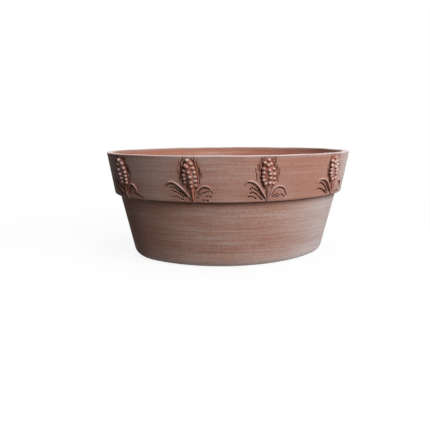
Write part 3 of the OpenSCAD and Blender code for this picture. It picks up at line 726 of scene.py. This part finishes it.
# The way that the painted highlights on the kernels face, sideways on each ear and up and out on all,
# how far that way on a kernel the highlight starts, and the ears whose kernels are highlit alike all
# over
HIGHLIGHT_SIDES, HIGHLIGHT_UP, HIGHLIGHT_OUT = [0.35] + [-0.15] * (EARS - 1), 0.62, 0.77
HIGHLIGHT_STARTS = [0.72, 0.76, 0.76, 0.74] + [0.76] * (EARS - 4)
EVEN_HIGHLIGHTS = {0: 1.0, 3: 0.8}
RINGS, RING_POINTS = 4, 12
APEX = RINGS * RING_POINTS
ring_angle = np.linspace(0, 2 * np.pi, RING_POINTS, endpoint=False)[None, :]
ring_tilt = np.radians([26, 54, 84, 118])[:, None]
pellet = np.broadcast_arrays(np.sin(ring_tilt) * np.cos(ring_angle),
                             np.sin(ring_tilt) * np.sin(ring_angle), np.cos(ring_tilt))
pellet = np.vstack([np.stack(pellet, axis=-1).reshape(-1, 3), [0, 0, 1]])
ring = np.arange(RING_POINTS)
pellet_sides = grid_faces(RINGS, RING_POINTS, False, True)
pellet_top = np.stack([ring, (ring + 1) % RING_POINTS, np.full(RING_POINTS, APEX)], 1)
pellet_seat = APEX - RING_POINTS + ring[::-1][None, :]
for ear in range(EARS):
    draw = np.random.default_rng(200 + ear)
    kind = EAR_DRAWINGS[ear][4]
    across, up = 0.001 * np.array(KERNELS[kind]).T
    c, s = np.cos(KERNEL_LEANS[kind]), np.sin(KERNEL_LEANS[kind])
    places = np.stack([across * c + (up - FOOT_RISE) * s,
                       FOOT_RISE + (up - FOOT_RISE) * c - across * s], 1)
    count = len(places)
    if ear > 2:
        places += draw.uniform(-KERNEL_SHIFT, KERNEL_SHIFT, (count, 2))
    share = (places[:, 1] - COB_RISE) / COB_LENGTH
    seat = np.maximum(cob_height(places[:, 0], share), LEAST_SEAT)
    size = KERNEL_RADIUS * draw.uniform(0.94, 1.07, count)
    stretch = np.stack([draw.uniform(0.98, 1.08, count), draw.uniform(0.88, 1.0, count),
                        np.full(count, 0.95)], 1)
    blob = pellet[None] * (size[:, None] * stretch)[:, None, :]
    centre = np.column_stack([places, seat - KERNEL_SINK])
    points = (centre[:, None, :] + blob).reshape(-1, 3)
    step = len(pellet) * np.arange(count)[:, None, None]
    faces = [(step + f).reshape(-1, f.shape[1]) for f in (pellet_sides, pellet_top, pellet_seat)]
    # Strength of the painted highlight: weaker on the left-hand kernels and the lowest ones, which
    # lie in shade, and full on the top ones
    if ear in EVEN_HIGHLIGHTS:
        highlit = EVEN_HIGHLIGHTS[ear]
    else:
        highlit = np.interp(places[:, 0], [-0.012, -0.004], [0.35, 1.0])
        highlit = highlit * np.interp(places[:, 1], [0.036, 0.040], [0.4, 1.0])
        highlit = np.where(places[:, 1] > 0.075, 1.0, highlit)
    highlit = highlit * draw.uniform(0.75, 1.0, count)
    # pale is the painted highlight on each pellet's lit side, red the painted shade on its lower side
    above, start = pellet @ [HIGHLIGHT_SIDES[ear], HIGHLIGHT_UP, HIGHLIGHT_OUT], HIGHLIGHT_STARTS[ear]
    pale = highlit[:, None] * 0.95 * np.clip((above - start) / 0.2, 0, 1)
    red = np.tile(np.clip((start + 0.14 - above) / 0.55, 0, 0.82), count)
    kernels = shape(f"ear_{ear + 1}_kernels", on_ear(ear, points), faces, relief_finish,
                    bloom=pale, hollow=red)
    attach(kernels, "root")
    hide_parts(f"kernels_{ear + 1}")


# ---- Stalks -------------------------------------------------------------------------------------
# Each ear stands on a stalk, a tapered roll of the same red clay. It was pressed on the band from
# its lower edge up to the cob and smoothed with a finger.
ARC_POINTS = 9
RIDGE_COLUMNS = ARC_POINTS + 2
STALK_ROWS, STALK_FOOT, STALK_LENGTH = 24, 0.0015, 0.0315
FOOT_HALF_WIDTH, STALK_WIDENING, FOOT_RELIEF, STALK_SWELLING = 0.0025, 0.0017, 0.0012, 0.0028


def ridge(line, half_width, relief, skew=0.0):
    """Half-round roll along a line: across it an arc of points from side to side, as high as the
    relief, whose crest lies on the line. A skew makes one side as much broader than the other. Below
    are two points sunk into the band. Returns the grid of points and the faces, both ends closed."""
    step = np.gradient(line, axis=0)
    across = np.stack([step[:, 1], -step[:, 0]], 1) / np.linalg.norm(step, axis=1)[:, None]
    turn = np.linspace(0, np.pi, ARC_POINTS)
    side = np.concatenate([np.cos(turn) + skew * np.sin(turn) ** 2, [-0.85, 0.85]]) - skew
    out = np.concatenate([np.sin(turn), [0, 0]])
    flat = line[:, None, :] + (half_width[:, None] * side)[..., None] * across[:, None, :]
    lift = relief[:, None] * out - np.concatenate([np.zeros(ARC_POINTS), [BURIED, BURIED]])
    points = np.concatenate([flat, lift[..., None]], axis=2)
    rows = len(line)
    faces = [grid_faces(rows, RIDGE_COLUMNS, False, True), end_faces(rows, RIDGE_COLUMNS)]
    return points, faces


for ear in range(EARS):
    share = np.linspace(0, 1, STALK_ROWS)
    line = np.stack([np.zeros(STALK_ROWS), STALK_FOOT + STALK_LENGTH * share], 1)
    points, faces = ridge(line, FOOT_HALF_WIDTH + STALK_WIDENING * share ** 1.5,
                          FOOT_RELIEF + STALK_SWELLING * np.minimum(1, 3 * share))
    red = np.broadcast_to(0.30 + 0.30 * share[:, None], points.shape[:2])
    stalk = shape(f"ear_{ear + 1}_stalk", on_ear(ear, points), faces, relief_finish, hollow=red)
    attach(stalk, "root")
    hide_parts(f"stalk_{ear + 1}")


# ---- Leaves -------------------------------------------------------------------------------------
# Two bent rolls of clay on each ear are its leaves, the longer one on the left. They were laid on the
# band and pressed along both edges; a painted highlight makes them pale along the crest, and painted
# shade makes their inner slopes dark red.
LEAF_ROWS, LEAF_HALF_WIDTH, LEAF_RELIEF, LEAF_SKEW = 44, 0.0029, 0.0035, 0.5
LONG_THICKNESS, SHORT_THICKNESS = [1.2] + [1.0] * (EARS - 1), 0.9
for ear in range(EARS):
    spots, quads, closers, pale, red, first = [], [], [], [], [], 0
    long_leaf, short_leaf = EAR_DRAWINGS[ear][:2]
    for drawn, thick, skew in ((LONG_LEAVES[long_leaf], LONG_THICKNESS[ear], LEAF_SKEW),
                               (SHORT_LEAVES[short_leaf], SHORT_THICKNESS, -LEAF_SKEW)):
        line = 0.001 * bent_line(drawn, LEAF_ROWS)
        share = np.linspace(0, 1, LEAF_ROWS)
        swell = thick * np.minimum(0.45 + 2.2 * share, leaf_taper(share))
        points, faces = ridge(line, LEAF_HALF_WIDTH * swell, LEAF_RELIEF * swell, skew)
        spots.append(points.reshape(-1, 3))
        quads.append(first + faces[0])
        closers.append(first + faces[1])
        first += len(spots[-1])
        inwards = np.concatenate([-np.cos(np.linspace(0, np.pi, ARC_POINTS)), [1, -1]])
        inwards = np.sign(skew) * inwards
        # crest is a painted highlight along the top of the roll, and red below it a painted shade
        # down its inner slope
        crest = np.clip(1.6 - np.abs(inwards + 0.25) / 0.28, 0, 1)
        pale.append(np.tile(crest, LEAF_ROWS))
        red.append(np.tile(np.clip(0.15 + inwards * 1.5, 0, 0.86), LEAF_ROWS))
    x, y, out = np.concatenate(spots).T
    leaves = shape(f"ear_{ear + 1}_leaves", on_band(EAR_PLACES[ear] + x, y, out),
                   [np.concatenate(quads), np.concatenate(closers)], relief_finish,
                   bloom=np.concatenate(pale), hollow=np.concatenate(red))
    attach(leaves, "root")
    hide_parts(f"leaves_{ear + 1}")


# ---- Studio -------------------------------------------------------------------------------------
# The pot stands on a white sheet of paper, cleanest round its foot. One broad soft light stands to
# the right of the front, a weaker one hangs above, and a small one stands behind.
def seen_directly(tree):
    """1 for rays that come from the camera, by way of mirrors or glass too, and 0 for all others."""
    ray = add_node(tree, "ShaderNodeLightPath").outputs
    seen = calculate(tree, "MAXIMUM", ray["Is Camera Ray"], ray["Is Glossy Ray"])
    return calculate(tree, "MAXIMUM", seen, ray["Is Transmission Ray"])


paper = bpy.data.materials.new("white_paper")
paper.use_nodes = True
tree = paper.node_tree
tree.nodes.clear()
spot = add_node(tree, "ShaderNodeTexCoord").outputs["Object"]
reach = add_node(tree, "ShaderNodeVectorMath", {0: spot}, operation="LENGTH").outputs["Value"]
foot_oval = (1 / (HALF_LENGTH - FOOT_INSET), 1 / (HALF_WIDTH - FOOT_INSET), 0)
oval = add_node(tree, "ShaderNodeVectorMath", {0: spot, 1: foot_oval}, operation="MULTIPLY")
oval = oval.outputs[0]
apart = add_node(tree, "ShaderNodeVectorMath", {0: oval}, operation="LENGTH").outputs["Value"]
sheet = add_node(tree, "ShaderNodeBsdfDiffuse", {"Color": (0.9, 0.9, 0.9, 1)}).outputs[0]
glow = add_node(tree, "ShaderNodeEmission", {"Color": (1, 1, 1, 1), "Strength": 1.0}).outputs[0]
lit = spread(tree, reach, 0.3, 1.3, 0.9, 1.0)
shown = add_node(tree, "ShaderNodeMixShader", {0: lit, 1: sheet, 2: glow}).outputs[0]
clean = spread(tree, apart, 1.0, 1.2, 0.48, 0.13)
dull = add_node(tree, "ShaderNodeBsdfDiffuse", {"Color": clean}).outputs[0]
seen = seen_directly(tree)
mixed = add_node(tree, "ShaderNodeMixShader", {0: seen, 1: dull, 2: shown}).outputs[0]
tree.links.new(mixed, add_node(tree, "ShaderNodeOutputMaterial").inputs[0])
SHEET_REACH, SHEET_POINTS, SHEET_Z = 4, 9, -0.0003
across = np.linspace(-SHEET_REACH, SHEET_REACH, SHEET_POINTS)
ground = np.stack(np.meshgrid(across, across, [SHEET_Z], indexing="ij"), axis=-1).reshape(-1, 3)
floor_sheet = shape("studio_floor", ground, [grid_faces(SHEET_POINTS, SHEET_POINTS)], paper)

scene = bpy.context.scene
scene.view_settings.view_transform = "Standard"
world = bpy.data.worlds.new("studio_air")
world.use_nodes = True
scene.world = world
tree = world.node_tree
tree.nodes.clear()
air = add_node(tree, "ShaderNodeBackground", {"Color": (1, 1, 1, 1), "Strength": 0.03}).outputs[0]
white = add_node(tree, "ShaderNodeBackground", {"Color": (1, 1, 1, 1), "Strength": 1.0}).outputs[0]
seen = seen_directly(tree)
mixed = add_node(tree, "ShaderNodeMixShader", {0: seen, 1: air, 2: white}).outputs[0]
tree.links.new(mixed, add_node(tree, "ShaderNodeOutputWorld").inputs[0])
POT_MIDDLE = Vector((0, 0, 0.13))


def softbox(name, azimuth, elevation, distance, width, height, power):
    """Flat lamp that faces the middle of the pot, from a direction in degrees and a distance."""
    lamp = bpy.data.lights.new(name, "AREA")
    lamp.shape, lamp.size, lamp.size_y, lamp.energy = "RECTANGLE", width, height, power
    stand = bpy.data.objects.new(name, lamp)
    a, e = np.radians([azimuth, elevation])
    way = Vector((np.cos(e) * np.cos(a), np.cos(e) * np.sin(a), np.sin(e)))
    facing = way.to_track_quat("Z", "Y").to_matrix().to_4x4()
    stand.matrix_world = Matrix.Translation(POT_MIDDLE + distance * way) @ facing
    scene.collection.objects.link(stand)


softbox("key_softbox", -58, 32, distance=2.0, width=1.3, height=1.2, power=48)
softbox("top_softbox", -55, 84, distance=1.9, width=1.1, height=1.1, power=20)
softbox("back_softbox", 106, 22, distance=2.2, width=0.8, height=0.6, power=22)

camera = bpy.data.objects.new("camera", bpy.data.cameras.new("camera"))
camera.data.sensor_width, camera.data.lens = 36.0, 33.62
stands_at = (-0.175429, -1.010594, 0.305111)
right, up = (0.990657, -0.136329, -0.003704), (0.031633, 0.203278, 0.978610)
ahead = (0.132660, 0.969584, -0.205692)
camera.matrix_world = Matrix([(r, u, -f, p) for r, u, f, p in zip(right, up, ahead, stands_at)]
                             + [(0, 0, 0, 1)])
scene.collection.objects.link(camera)
scene.camera = camera
